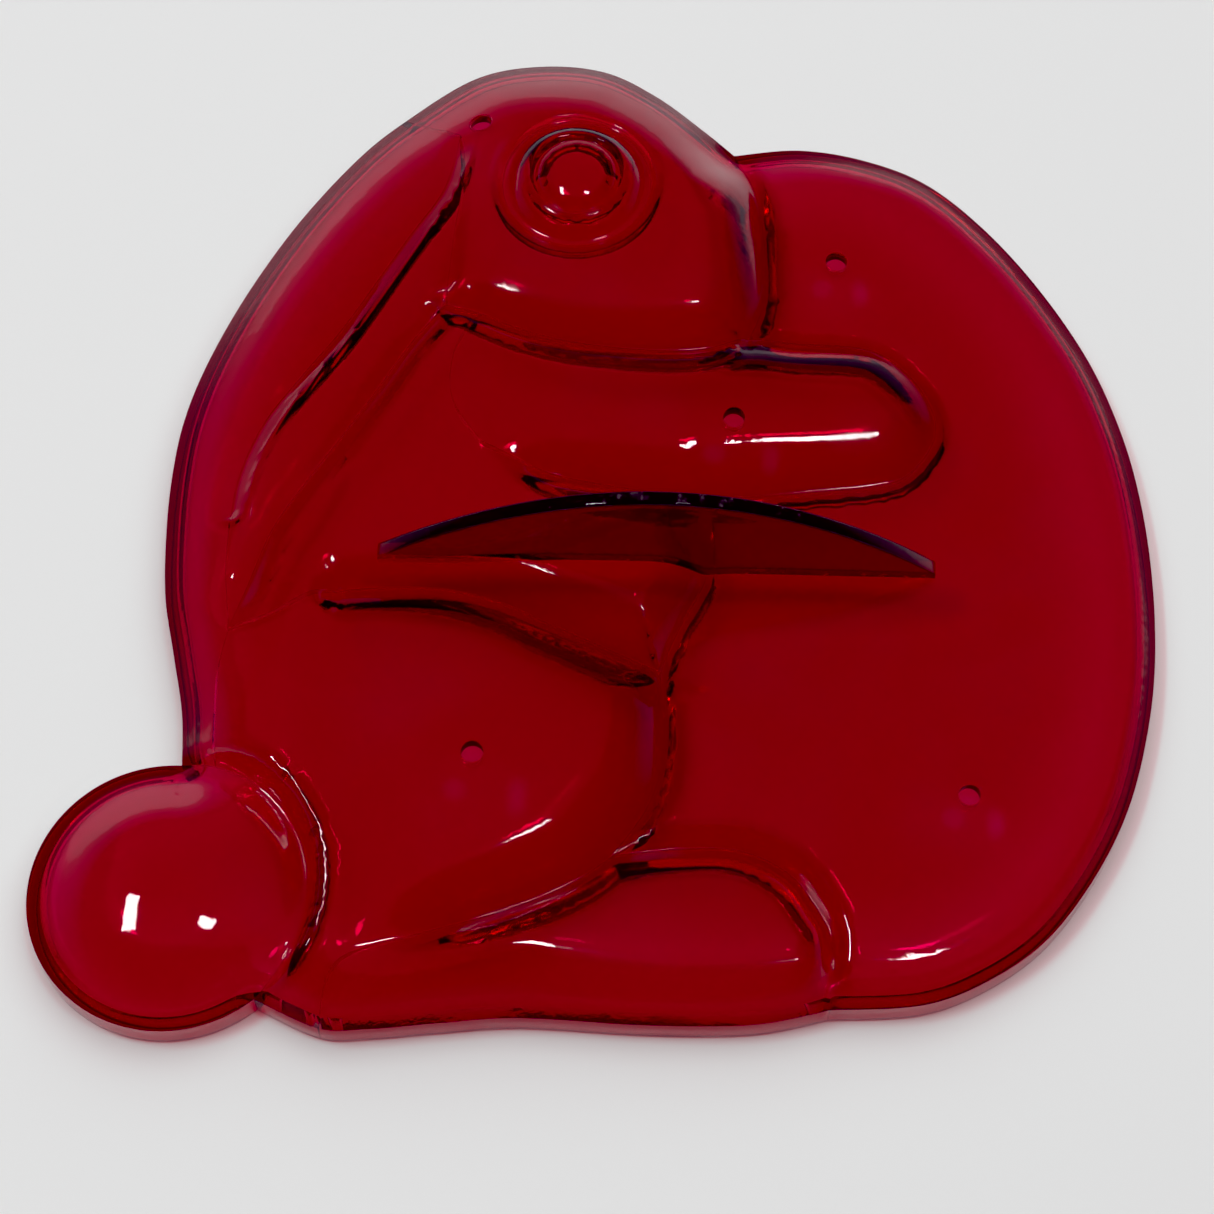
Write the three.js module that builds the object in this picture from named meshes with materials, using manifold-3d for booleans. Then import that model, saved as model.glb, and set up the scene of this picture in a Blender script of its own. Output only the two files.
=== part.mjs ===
// Relief cutter shaped as a crouching rabbit that hugs a very large egg.
//
// It is a thin shell, open underneath, with a vertical skirt around its edge,
// rounded members divided by creases, small vent holes and an upright
// half-moon grip.
//
// Frame: millimetres, +Z up, the rim of the skirt stands on z = 0, the origin
// is the middle of the footprint, +X runs from the tail towards the egg and
// +Y from the feet towards the head.

import * as THREE from 'three';
import { mergeVertices } from 'three/addons/utils/BufferGeometryUtils.js';
import Module from 'manifold-3d';

// ---------------------------------------------------------------- dimensions

const WALL = 1.5;              // wall of the shell
const SKIRT_HEIGHT = 3.5;      // straight part of the outer edge
const EGG = { rim: 5.6, top: 7.8, dome: 26 };    // level at its edge and on top, width of the rise between
const GAP = 0.3;               // clearance between neighbouring members
const CELL = 2.4;              // spacing of the relief's grid
const CURVE_STEP = 2.5;        // spacing of points along outlines
const WELD = 0.3;              // points of a loop that are closer than this become one

const VENT_RADIUS = 1.1;
const VENTS = [
  ['head', -12.7, 44.2],
  ['egg', 24.6, 28],
  ['egg', 35.9, -31.8],
  ['arm', 13.5, 8],
  ['haunch', -12.4, -28.8],
];

const TAIL = { x: -42, y: -41, radius: 13.7, height: 9.2, floor: 5.8, domeRadius: 25 };
const TAIL_SLOPE = { inside: 3, outside: 2 };    // widths of the slopes to the tail's crease

const EYE = { x: -2.5, y: 36, seat: 11.3, ringOuter: 7.8, ringInner: 4.7, button: 4.3 };
const EYE_RING_RISE = 1;
const EYE_BUTTON_RISE = 2;

const GRIP = { x: 5.6, y: -7.4, halfLength: 27.8, thickness: 1.5, top: 22.8, turn: -0.024 };
const GRIP_END_HEIGHT = { left: 10.2, right: 8.7 };

const RED = 0x8c0010;
const DEEP_RED = 0x6e000c;

// -------------------------------------------------------------------- curves
// Every crease and every stretch of the outer edge is one open curve in plan.
// Members share them, so that neighbours meet exactly.

const curve = {
  // outer edge
  crown: [[-21, 47.7], [-13.6, 53.1], [-6.6, 54.7], [0.3, 54], [5.9, 50.9], [10.9, 46.6], [14.3, 43.3]],
  eggBack: [[14.3, 43.3], [21.1, 44], [27.9, 42.8], [34.6, 39.8], [40.6, 34.2], [46.1, 26.8],
    [50.8, 18.2], [53.7, 9.7], [55.2, 1.7], [55.8, -7], [55.5, -16], [54.2, -24], [51.8, -32],
    [48.1, -39.1], [43.2, -45.4], [37.4, -49.6], [30.9, -52.1], [21.9, -52.6]],
  sole: [[21.9, -52.6], [17.3, -53.7], [12.5, -54.2], [3.8, -54.1], [-7.7, -53.4], [-15.4, -53.9],
    [-22.2, -54.5], [-27, -54.4]],
  heel: [[-27, -54.4], [-32.6, -52.2]],
  back: [[-41.2, -25.4], [-41.6, -21.7], [-42.7, -15.6], [-43.9, -9.1], [-44.2, -2.6], [-44, 4.1],
    [-43.1, 10.9], [-41, 17.8], [-37.2, 26.2], [-32.1, 34.9], [-26.1, 42.8], [-21, 47.7]],
  // around the head
  nape: [[-21, 47.7], [-18, 45.1], [-14.8, 42.7]],
  earRoot: [[-14.8, 42.7], [-14.2, 37.6], [-15.2, 30.2], [-16, 21.7]],
  chin: [[-16, 21.7], [-12.4, 21]],
  jaw: [[-12.4, 21], [-8.3, 19.3], [-3.1, 17.9], [4, 17.1], [10.2, 17.2], [15.3, 18.7]],
  face: [[15.3, 18.7], [16.9, 23.2], [17.2, 29.4], [16.4, 37.2], [14.3, 43.3]],
  // ears
  earMiddle: [[-14.8, 42.7], [-15.6, 38.4], [-16.8, 34.7], [-19.8, 30], [-22.7, 25.2], [-26.7, 18.7],
    [-30.6, 13.5], [-33.9, 8.9], [-35.8, 4.9], [-36.9, 1], [-37.2, -2.9]],
  earTip: [[-37.2, -2.9], [-37.4, -8.3], [-36.8, -14.4]],
  earFront: [[-16, 21.7], [-18, 19.2], [-20, 16.5], [-22.9, 11.8], [-26.3, 6.6], [-30.1, 1],
    [-32.9, -3.6], [-34.7, -8.4], [-36.8, -14.4]],
  rump: [[-36.8, -14.4], [-37.8, -19.3], [-37.8, -28]],
  // arm
  armTop: [[15.3, 18.7], [20.3, 18.2], [27.5, 17.5], [31.4, 14.7], [33.8, 10.7], [34, 7.1], [31.5, 3.3],
    [28.5, 1.8], [21.9, 1], [14.9, 0.4], [10.5, 0.2]],
  armUnder: [[10.5, 0.2], [0, 1.6], [-6.1, 2.9], [-12, 5.4]],
  armRoot: [[-12, 5.4], [-15, 10.2], [-15, 15.7], [-12.4, 21]],
  // belly and haunch
  belly: [[10.5, 0.2], [10.6, -7.5], [9.8, -10.3], [7.8, -14.1], [6, -18.9]],
  waist: [[-36.8, -14.4], [-33, -13.4], [-28.7, -11]],
  thighTop: [[-28.7, -11], [-24.7, -10.1], [-19.8, -9.8], [-14.9, -10.1], [-9.9, -11.4], [-5, -13.7],
    [0, -16], [6, -18.9]],
  knee: [[6, -18.9], [6.3, -24.2], [5.8, -29.3], [4.3, -33.4], [1.1, -37.9]],
  // foot
  instep: [[1.1, -37.9], [-1.9, -40.1], [-5.7, -42.1], [-10.9, -44.1], [-18, -46.4], [-25, -49.1],
    [-27, -54.4]],
  toes: [[1.1, -37.9], [7.6, -37.1], [13.4, -37.2], [18.1, -39.4], [20.9, -43.1], [22.2, -46.4],
    [21.9, -52.6]],
};

// The tail is a ball: its edge is one circle, met by the back and the heel.
const tailAngle = ([x, y]) => Math.atan2(y - TAIL.y, x - TAIL.x);
const TAIL_AT_BACK = tailAngle(curve.back[0]);
const TAIL_AT_RUMP = tailAngle(curve.rump[2]);
const TAIL_AT_HEEL = tailAngle(curve.heel[1]);

function tailArc(from, to) {
  const points = [];
  const steps = Math.max(2, Math.round(Math.abs(to - from) * TAIL.radius / CURVE_STEP));
  for (let i = 0; i <= steps; i += 1) {
    const a = from + (to - from) * i / steps;
    points.push(new THREE.Vector2(TAIL.x + TAIL.radius * Math.cos(a), TAIL.y + TAIL.radius * Math.sin(a)));
  }
  return points;
}

function smooth(points) {
  const spline = new THREE.SplineCurve(points.map(([x, y]) => new THREE.Vector2(x, y)));
  return spline.getSpacedPoints(Math.max(2, Math.round(spline.getLength() / CURVE_STEP)));
}

const line = {};
for (const [name, points] of Object.entries(curve)) line[name] = smooth(points);
line.tailTop = tailArc(TAIL_AT_BACK, TAIL_AT_RUMP);
line.tailInside = tailArc(TAIL_AT_RUMP, TAIL_AT_HEEL);
line.tailOutside = tailArc(TAIL_AT_HEEL, TAIL_AT_BACK - 2 * Math.PI);

// Joins curves into one closed loop; a leading '-' runs a curve backwards.
function loop(...names) {
  const points = [];
  for (const name of names) {
    const run = name.startsWith('-') ? [...line[name.slice(1)]].reverse() : line[name];
    for (const p of run) {
      if (points.length === 0 || points[points.length - 1].distanceTo(p) > WELD) points.push(p);
    }
  }
  if (points[0].distanceTo(points[points.length - 1]) <= WELD) points.pop();
  return THREE.ShapeUtils.isClockWise(points) ? points.reverse() : points;
}

const silhouette = loop('crown', 'eggBack', 'sole', 'heel', 'tailOutside', 'back');

const members = {
  head: loop('crown', '-face', '-jaw', '-chin', '-earRoot', '-nape'),
  back_ear: loop('back', 'nape', 'earMiddle', 'earTip', 'rump', '-tailTop'),
  front_ear: loop('earMiddle', 'earTip', '-earFront', '-earRoot'),
  chest: loop('chin', '-armRoot', '-armUnder', 'belly', '-thighTop', '-waist', '-earFront'),
  arm: loop('jaw', 'armTop', 'armUnder', 'armRoot'),
  haunch: loop('waist', 'thighTop', 'knee', 'instep', 'heel', '-tailInside', '-rump'),
  foot: loop('toes', 'sole', '-instep'),
  egg: loop('eggBack', '-toes', '-knee', '-belly', '-armTop', 'face'),
  tail: loop('tailOutside', 'tailTop', 'tailInside'),
};

// Width over which the outer edge rounds over to the top: x, y, width.
const ROUND_SPREAD = 10;
const rounds = [
  [-8, 50, 15], [8, 46, 14], [22, 43, 6], [40, 32, 6], [55, 5, 5],
  [54, -22, 4], [40, -45, 4], [28, -50, 3.6], [12, -52, 6], [-10, -52, 6],
  [-27, -52, 6.5], [-41, -20, 10], [-44, 0, 13], [-36, 28, 14],
];
const EDGE_STRAIGHT = 0.3;     // share of that width that slopes evenly

// Heights of the rabbit's body where it is fullest: x, y, height.
const CROWN_SPREAD = 8;
const crowns = [
  [0, 34, 11.2], [0, 22, 10.9], [-8, 46, 10.7], [-20, 42, 9.9],                 // head and nape
  [-30, 27, 10.1], [-41, 5, 9.4], [-40, -15, 9.1], [-24, 18, 10], [-33, -2, 9.5], // ears
  [-12, 12, 10.1], [-22, -2, 9.5], [0, -10, 10.2], [-20, -8, 9.5],              // chest and belly
  [-7, 11, 10.4], [12, 8, 10.5], [28, 8, 10],                                   // arm
  [-10, -24, 11.1], [-12, -34, 11.2], [-32, -24, 9.5], [-27, -38, 9.9],         // haunch and rump
  [-26, -47, 7.7], [0, -47, 7.7], [16, -46, 7.7],                               // heel and foot
];

// The creases: height of the floor at the start and at the end, then how wide
// the slope up from it is on the left and on the right of the curve as it
// runs, and the lengths over which it fades in and out.
const creases = [
  { name: 'face', floor: [7.3, 5.5], left: 7.5, right: 2 },
  { name: 'jaw', floor: [8.7, 7.6], left: 5, right: 3, fadeIn: 3 },
  { name: 'armTop', floor: [7.3, 7.5], left: 2, right: 7 },
  { name: 'armUnder', floor: [7.5, 8.7], left: 3, right: 5, fadeOut: 9 },
  { name: 'belly', floor: [7.5, 7.1], left: 3, right: 5 },
  { name: 'thighTop', floor: [7.9, 7.1], left: 6, right: 5, fadeIn: 3 },
  { name: 'knee', floor: [7.1, 6.4], left: 2.5, right: 6 },
  { name: 'instep', floor: [6.2, 7], left: 4, right: 5, fadeOut: 22 },
  { name: 'toes', floor: [6.4, 5.3], left: 2, right: 4 },
  { name: 'earMiddle', floor: [9.7, 8.7], left: 2, right: 2.2, fadeIn: 4, fadeOut: 2 },
  { name: 'earFront', floor: [9.3, 8.1], left: 3, right: 3, fadeIn: 5, fadeOut: 5 },
];

// -------------------------------------------------------------------- relief

// Nearest point on a polyline: distance, distance along, and which side.
function nearest(points, x, y, closed) {
  let best = { distance: Infinity, along: 0, left: true };
  let travelled = 0;
  const last = closed ? points.length : points.length - 1;
  for (let i = 0; i < last; i += 1) {
    const a = points[i];
    const b = points[(i + 1) % points.length];
    const dx = b.x - a.x;
    const dy = b.y - a.y;
    const length = Math.hypot(dx, dy);
    const t = THREE.MathUtils.clamp(((x - a.x) * dx + (y - a.y) * dy) / (length * length), 0, 1);
    const distance = Math.hypot(a.x + t * dx - x, a.y + t * dy - y);
    if (distance < best.distance) {
      best = { distance, along: travelled + t * length, left: dx * (y - a.y) - dy * (x - a.x) > 0 };
    }
    travelled += length;
  }
  return { ...best, length: travelled };
}

function inside(edge, x, y) {
  let odd = false;
  for (let i = 0; i < edge.length; i += 1) {
    const a = edge[i];
    const b = edge[(i + 1) % edge.length];
    if ((a.y > y) !== (b.y > y) && x < a.x + (y - a.y) * (b.x - a.x) / (b.y - a.y)) odd = !odd;
  }
  return odd;
}

// A quarter ellipse: 0 at the edge, 1 once the distance reaches the width.
function rounding(distance, width) {
  const u = 1 - Math.min(distance, width) / width;
  return Math.sqrt(1 - u * u);
}

// The outer edge's rise: an even slope that rounds over, 1 at the full width.
function edgeRise(distance, width) {
  const t = Math.min(distance, width) / width;
  const bend = Math.max(0, t - EDGE_STRAIGHT);
  return (t - bend * bend / (2 * (1 - EDGE_STRAIGHT))) / ((1 + EDGE_STRAIGHT) / 2);
}

// Slope up from a crease: steep at the floor, level once at full width.
function slope(distance, width) {
  return 1 - (1 - Math.min(distance, width) / width) ** 2;
}

function fade(along, length) {
  return length ? THREE.MathUtils.smoothstep(along, 0, length) : 1;
}

// A smooth field through a few values placed in plan.
function blend(controls, spread, x, y) {
  let sum = 0;
  let weights = 0;
  for (const [cx, cy, value] of controls) {
    const weight = Math.exp(-((x - cx) ** 2 + (y - cy) ** 2) / (2 * spread ** 2));
    sum += weight * value;
    weights += weight;
  }
  return sum / weights;
}

function tailHeight(x, y) {
  const r = Math.hypot(x - TAIL.x, y - TAIL.y);
  const dome = TAIL.height - r * r / (2 * TAIL.domeRadius);
  const top = nearest(line.tailTop, x, y, false).distance;
  const side = nearest(line.tailInside, x, y, false).distance;
  return TAIL.floor + (dome - TAIL.floor) * rounding(Math.min(top, side), TAIL_SLOPE.inside);
}

function eggHeight(rimDistance) {
  const u = 1 - Math.min(rimDistance, EGG.dome) / EGG.dome;
  return EGG.rim + (EGG.top - EGG.rim) * (1 - u * u);
}

function topHeight(name, x, y, rimDistance) {
  if (name === 'tail') return tailHeight(x, y);
  const full = name === 'egg' ? eggHeight(rimDistance) : blend(crowns, CROWN_SPREAD, x, y);
  let top = full;
  for (const crease of creases) {
    const at = nearest(line[crease.name], x, y, false);
    const floor = THREE.MathUtils.lerp(...crease.floor, at.along / at.length);
    const depth = Math.max(0, full - floor) * fade(at.along, crease.fadeIn)
      * fade(at.length - at.along, crease.fadeOut);
    top = Math.min(top, full - depth * (1 - slope(at.distance, at.left ? crease.left : crease.right)));
  }
  const tailDistance = Math.hypot(x - TAIL.x, y - TAIL.y) - TAIL.radius;
  return TAIL.floor + (top - TAIL.floor) * slope(Math.max(tailDistance, 0), TAIL_SLOPE.outside);
}

function surfaceHeight(x, y) {
  const name = Object.keys(members).find((member) => inside(members[member], x, y));
  if (!name) return SKIRT_HEIGHT;
  const rim = nearest(silhouette, x, y, true).distance;
  const rise = edgeRise(rim, blend(rounds, ROUND_SPREAD, x, y));
  return SKIRT_HEIGHT + (topHeight(name, x, y, rim) - SKIRT_HEIGHT) * rise;
}

// -------------------------------------------------------------------- solids

const wasm = await Module();
wasm.setup();

function toSolid(geometry) {
  const bare = geometry.index ? geometry.toNonIndexed() : geometry.clone();
  bare.deleteAttribute('normal');
  bare.deleteAttribute('uv');
  const merged = mergeVertices(bare, 1e-4);
  return new wasm.Manifold(new wasm.Mesh({
    numProp: 3,
    vertProperties: new Float32Array(merged.attributes.position.array),
    triVerts: new Uint32Array(merged.index.array),
  }));
}

function toGeometry(solid) {
  const mesh = solid.getMesh();
  const geometry = new THREE.BufferGeometry();
  geometry.setAttribute('position', new THREE.BufferAttribute(new Float32Array(mesh.vertProperties), 3));
  geometry.setIndex(new THREE.BufferAttribute(new Uint32Array(mesh.triVerts), 1));
  geometry.computeVertexNormals();
  return geometry;
}

// The relief as a solid block: a grid of heights over a flat floor.
const COLUMNS = 2 * Math.ceil(58 / CELL);
const ROWS = 2 * Math.ceil(56 / CELL);

function reliefBlock(floor, offset) {
  const block = new THREE.BoxGeometry(COLUMNS * CELL, ROWS * CELL, 1, COLUMNS, ROWS, 1);
  const position = block.attributes.position;
  for (let i = 0; i < position.count; i += 1) {
    const top = position.getZ(i) > 0;
    position.setZ(i, top ? surfaceHeight(position.getX(i), position.getY(i)) + offset : floor);
  }
  return toSolid(block);
}

// Moves a loop inwards by the given distance along its normals.
function inset(edge, distance) {
  return edge.map((p, i) => {
    const before = edge[(i + edge.length - 1) % edge.length];
    const after = edge[(i + 1) % edge.length];
    const along = after.clone().sub(before).normalize();
    return new THREE.Vector2(p.x - along.y * distance, p.y + along.x * distance);
  });
}

function prism(edge, bottom, top) {
  const shape = new THREE.Shape(edge);
  const geometry = new THREE.ExtrudeGeometry(shape, { depth: top - bottom, bevelEnabled: false });
  geometry.translate(0, 0, bottom);
  return toSolid(geometry);
}

function drill(x, y, radius) {
  const bit = new THREE.CylinderGeometry(radius, radius, 40, 20);
  bit.rotateX(Math.PI / 2);
  bit.translate(x, y, 10);
  return toSolid(bit);
}

const outside = reliefBlock(0, 0);
const hollow = reliefBlock(-5, -WALL).intersect(prism(inset(silhouette, WALL), -10, 40));
const shell = outside.subtract(hollow);

function memberSolid(name) {
  let solid = shell.intersect(prism(inset(members[name], GAP / 2), -2, 40));
  for (const [owner, x, y] of VENTS) {
    if (owner === name) solid = solid.subtract(drill(x, y, VENT_RADIUS));
  }
  if (name === 'head') solid = solid.subtract(drill(EYE.x, EYE.y, EYE.ringOuter + GAP));
  return solid;
}

// ----------------------------------------------------------------------- eye

function lathe(profile, segments) {
  const geometry = new THREE.LatheGeometry(profile.map(([r, z]) => new THREE.Vector2(r, z)), segments);
  geometry.rotateX(Math.PI / 2);
  geometry.translate(EYE.x, EYE.y, EYE.seat);
  return geometry;
}

// A sloping ring that stands highest next to the button.
function eyeRing() {
  return lathe([
    [EYE.ringInner, -WALL],
    [EYE.ringOuter, -WALL - 0.6],
    [EYE.ringOuter, -0.7],
    [EYE.ringOuter - 0.7, -0.5],
    [EYE.ringInner + 1, EYE_RING_RISE - 0.2],
    [EYE.ringInner + 0.4, EYE_RING_RISE],
    [EYE.ringInner, EYE_RING_RISE - 0.3],
    [EYE.ringInner, -WALL],
  ], 36);
}

// A small dome shell, open underneath like the rest of the moulding.
function eyeButton() {
  const profile = [];
  const steps = 6;
  for (let i = 0; i <= steps; i += 1) {
    const a = Math.PI / 2 * i / steps;
    profile.push([(EYE.button - WALL) * Math.sin(a), EYE_BUTTON_RISE * Math.cos(a) - WALL]);
  }
  for (let i = steps; i >= 0; i -= 1) {
    const a = Math.PI / 2 * i / steps;
    profile.push([EYE.button * Math.sin(a), EYE_BUTTON_RISE * Math.cos(a) - (i === steps ? WALL : 0)]);
  }
  return lathe(profile, 32);
}

// ---------------------------------------------------------------------- grip

// An upright half-moon plate that follows the relief along its foot.
function grip() {
  const outline = new THREE.Shape();
  const steps = 28;
  outline.moveTo(-GRIP.halfLength, 0);
  for (let i = 0; i <= steps; i += 1) {
    const u = -1 + 2 * i / steps;
    const end = THREE.MathUtils.lerp(GRIP_END_HEIGHT.left, GRIP_END_HEIGHT.right, (1 + u) / 2);
    outline.lineTo(GRIP.halfLength * u, THREE.MathUtils.lerp(end, GRIP.top, 1 - u * u));
  }
  outline.lineTo(GRIP.halfLength, 0);
  const plate = new THREE.ExtrudeGeometry(outline, { depth: GRIP.thickness, bevelEnabled: false });
  plate.translate(0, 0, -GRIP.thickness / 2);
  plate.rotateX(Math.PI / 2);
  plate.rotateZ(GRIP.turn);
  plate.translate(GRIP.x, GRIP.y, 0);
  return toGeometry(toSolid(plate).subtract(reliefBlock(-5, GAP)));
}

// ------------------------------------------------------------------ assembly

function plastic(color) {
  return new THREE.MeshStandardMaterial({ color, roughness: 0.12, transparent: true, opacity: 0.8 });
}

function named(name, geometry, color) {
  const mesh = new THREE.Mesh(geometry, plastic(color));
  mesh.name = name;
  return mesh;
}

const group = new THREE.Group();
for (const name of Object.keys(members)) {
  group.add(named(name, toGeometry(memberSolid(name)), RED));
}
group.add(named('eye_ring', eyeRing(), RED));
group.add(named('eye_button', eyeButton(), RED));
group.add(named('grip', grip(), DEEP_RED));

export default group;
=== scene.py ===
"""Looks of the relief cutter: a clear red moulded shell in fine meshes, its grip, table, light and camera.

Curves and heights are in millimetres, as in the part's own design; meshes are made in metres.
"""

import math

import bmesh
import bpy
import numpy as np
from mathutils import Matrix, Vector
from mathutils.kdtree import KDTree
from mathutils.geometry import delaunay_2d_cdt, tessellate_polygon


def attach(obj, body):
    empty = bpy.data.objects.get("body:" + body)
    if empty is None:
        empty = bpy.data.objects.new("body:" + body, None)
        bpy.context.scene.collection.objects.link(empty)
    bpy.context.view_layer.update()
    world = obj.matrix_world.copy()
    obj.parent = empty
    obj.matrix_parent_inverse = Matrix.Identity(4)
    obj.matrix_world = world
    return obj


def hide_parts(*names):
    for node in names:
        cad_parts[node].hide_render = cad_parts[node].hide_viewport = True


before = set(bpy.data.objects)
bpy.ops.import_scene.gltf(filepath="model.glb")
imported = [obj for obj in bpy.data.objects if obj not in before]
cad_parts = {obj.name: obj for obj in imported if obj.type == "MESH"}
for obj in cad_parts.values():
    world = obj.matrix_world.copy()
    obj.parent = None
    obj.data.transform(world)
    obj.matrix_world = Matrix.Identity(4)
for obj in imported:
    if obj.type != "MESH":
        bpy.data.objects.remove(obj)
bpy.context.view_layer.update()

MM = 0.001

# ------------------------------------------------------------ driving sizes

WALL = 1.5                 # wall of the shell
EDGE_WALL = 0.85           # wall of the slopes next to the outer edge
CREASE_WALL = 1.35         # the creases are this many times deeper inside, where the wall is thickest
SKIRT_HEIGHT = 3.5         # straight part of the outer edge
EGG_HEIGHT = 7.8           # level of the egg's broad top
EGG_RIM, EGG_DOME = 5.6, 26.0    # level where the egg's edge begins, and how far inside it the top is level
RIM_ROUND = 0.25           # rounding of the rim that the shell stands on
SEAM = 0.006               # hairline between two members, half of it on each

STEP = 0.6                 # spacing of points along curves
CURVE_DETAIL, PROFILE_DETAIL = 24, 12    # steps between the given points of a curve and of a profile
CELL = 0.62                # spacing of points on the outer surface
INNER_CELL = 0.85          # spacing of points on the inner surface
ROOM = 0.6                 # share of the spacing that stays free round the rows beside an outline
# Rows of points that follow an outline, by their distance to it: at the outer edge, at a crease, round a
# hole, and along every outline of the inner surface.
EDGE_RINGS = [0.03, 0.1, 0.22, 0.42, 0.7]
CREASE_RINGS = [0.12, 0.3, 0.6, 1.0]
HOLE_RINGS = [0.12, 0.3, 0.55, 0.85, 1.2]
INNER_RINGS = [0.08, 0.25, 0.55, 0.95, 1.4, 1.9]
GRID = 0.3                 # spacing of the height grid that the inner wall is taken from
CUT_TURN = 3.0             # length over which the wall turns from along a crease to square to the edge
SHARP_ANGLE = math.radians(50)    # edges that turn more than this stay sharp
SLOPE_STEP = 0.04          # half the distance over which the relief's slope is measured
PLAIN_MARGIN = 0.5         # this close to the outer edge the surface keeps its mesh's own normals

TAIL_X, TAIL_Y, TAIL_RADIUS = -42.0, -41.0, 13.7
TAIL_HEIGHT, TAIL_FLOOR = 9.2, 5.8
TAIL_CURVE = 25.0                  # radius of the tail's low dome
TAIL_DOME, TAIL_SIDE = 3.0, 2.0    # widths of the slopes to the tail's crease, on the tail and on the body

EYE_X, EYE_Y = -2.5, 36.0
EYE_RADIUS, PUPIL_RADIUS = 7.8, 4.35
DOME_RADIUS, DOME_FOOT, DOME_RISE = 4.25, 0.45, 1.5
# Rise of the eye's ring above the head, from the groove round the pupil outwards: radius, rise.
EYE_RING = [
    (4.25, 0.45), (4.35, 0.3), (4.5, 0.45), (4.8, 0.85), (5.3, 0.85), (6.0, 0.4), (6.6, -0.2),
    (7.1, -0.7), (7.5, -0.85), (7.9, -0.75), (8.3, -0.25), (8.7, -0.03), (9.2, 0.0),
]
EYE_SIDES = 96
EYE_ROWS = 20              # rings of points in the eye's ring and in its dome

VENT_RADIUS = 1.1
VENT_ROUND = 0.15          # rounding of a vent's upper edge
VENT_SIDES = 40
VENTS = {
    "head": [(-12.7, 44.2)],
    "egg": [(24.6, 28.0), (35.9, -31.8)],
    "arm": [(13.5, 8.0)],
    "haunch": [(-12.4, -28.8)],
}

# ------------------------------------------------------------------- curves

CURVES = {
    # outer edge
    "crown": [(-21, 47.7), (-13.6, 53.1), (-6.6, 54.7), (0.3, 54), (5.9, 50.9), (10.9, 46.6),
              (14.3, 43.3)],
    "eggBack": [(14.3, 43.3), (21.1, 44), (27.9, 42.8), (34.6, 39.8), (40.6, 34.2), (46.1, 26.8),
                (50.8, 18.2), (53.7, 9.7), (55.2, 1.7), (55.8, -7), (55.5, -16), (54.2, -24),
                (51.8, -32), (48.1, -39.1), (43.2, -45.4), (37.4, -49.6), (30.9, -52.1), (21.9, -52.6)],
    "sole": [(21.9, -52.6), (17.3, -53.7), (12.5, -54.2), (3.8, -54.1), (-7.7, -53.4), (-15.4, -53.9),
             (-22.2, -54.5), (-27, -54.4)],
    "heel": [(-27, -54.4), (-32.6, -52.2)],
    "back": [(-41.2, -25.4), (-41.6, -21.7), (-42.7, -15.6), (-43.9, -9.1), (-44.2, -2.6), (-44, 4.1),
             (-43.1, 10.9), (-41, 17.8), (-37.2, 26.2), (-32.1, 34.9), (-26.1, 42.8), (-21, 47.7)],
    # around the head
    "nape": [(-21, 47.7), (-18, 45.1), (-14.8, 42.7)],
    "earRoot": [(-14.8, 42.7), (-14.2, 37.6), (-15.2, 30.2), (-16, 21.7)],
    "chin": [(-16, 21.7), (-12.4, 21)],
    "jaw": [(-12.4, 21), (-8.3, 19.3), (-3.1, 17.9), (4, 17.1), (10.2, 17.2), (15.3, 18.7)],
    "face": [(15.3, 18.7), (16.9, 23.2), (17.2, 29.4), (16.4, 37.2), (14.3, 43.3)],
    # ears
    "earMiddle": [(-14.8, 42.7), (-15.6, 38.4), (-16.8, 34.7), (-19.8, 30), (-22.7, 25.2), (-26.7, 18.7),
                  (-30.6, 13.5), (-33.9, 8.9), (-35.8, 4.9), (-36.9, 1), (-37.2, -2.9)],
    "earTip": [(-37.2, -2.9), (-37.4, -8.3), (-36.8, -14.4)],
    "earFront": [(-16, 21.7), (-18, 19.2), (-20, 16.5), (-22.9, 11.8), (-26.3, 6.6), (-30.1, 1),
                 (-32.9, -3.6), (-34.7, -8.4), (-36.8, -14.4)],
    "earFold": [(-24.4, 5.4), (-26.9, 0.7), (-29.7, -4.9), (-32.1, -10.1), (-34, -13.8)],
    "rump": [(-36.8, -14.4), (-37.8, -19.3), (-37.8, -28)],
    # arm
    "armTop": [(15.3, 18.7), (20.3, 18.2), (27.5, 17.5), (31.4, 14.7), (33.8, 10.7), (34, 7.1),
               (31.5, 3.3), (28.5, 1.8), (21.9, 1), (14.9, 0.4), (10.5, 0.2)],
    "armUnder": [(10.5, 0.2), (0, 1.6), (-6.1, 2.9), (-12, 5.4)],
    "armRoot": [(-12, 5.4), (-15, 10.2), (-15, 15.7), (-12.4, 21)],
    # belly and haunch
    "belly": [(10.5, 0.2), (10.6, -7.5), (9.8, -10.3), (7.8, -14.1), (6, -18.9)],
    "waist": [(-36.8, -14.4), (-33, -13.4), (-28.7, -11)],
    "thighTop": [(-28.7, -11), (-24.7, -10.1), (-19.8, -9.8), (-14.9, -10.1), (-9.9, -11.4), (-5, -13.7),
                 (0, -16), (6, -18.9)],
    "knee": [(6, -18.9), (6.3, -24.2), (5.8, -29.3), (4.3, -33.4), (1.1, -37.9)],
    # foot
    "instep": [(1.1, -37.9), (-1.9, -40.1), (-5.7, -42.1), (-10.9, -44.1), (-18, -46.4), (-25, -49.1),
               (-27, -54.4)],
    "toes": [(1.1, -37.9), (7.6, -37.1), (13.4, -37.2), (18.1, -39.4), (20.9, -43.1), (22.2, -46.4),
             (21.9, -52.6)],
}
EDGES = {"crown", "eggBack", "sole", "heel", "back", "tailOutside"}

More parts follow.
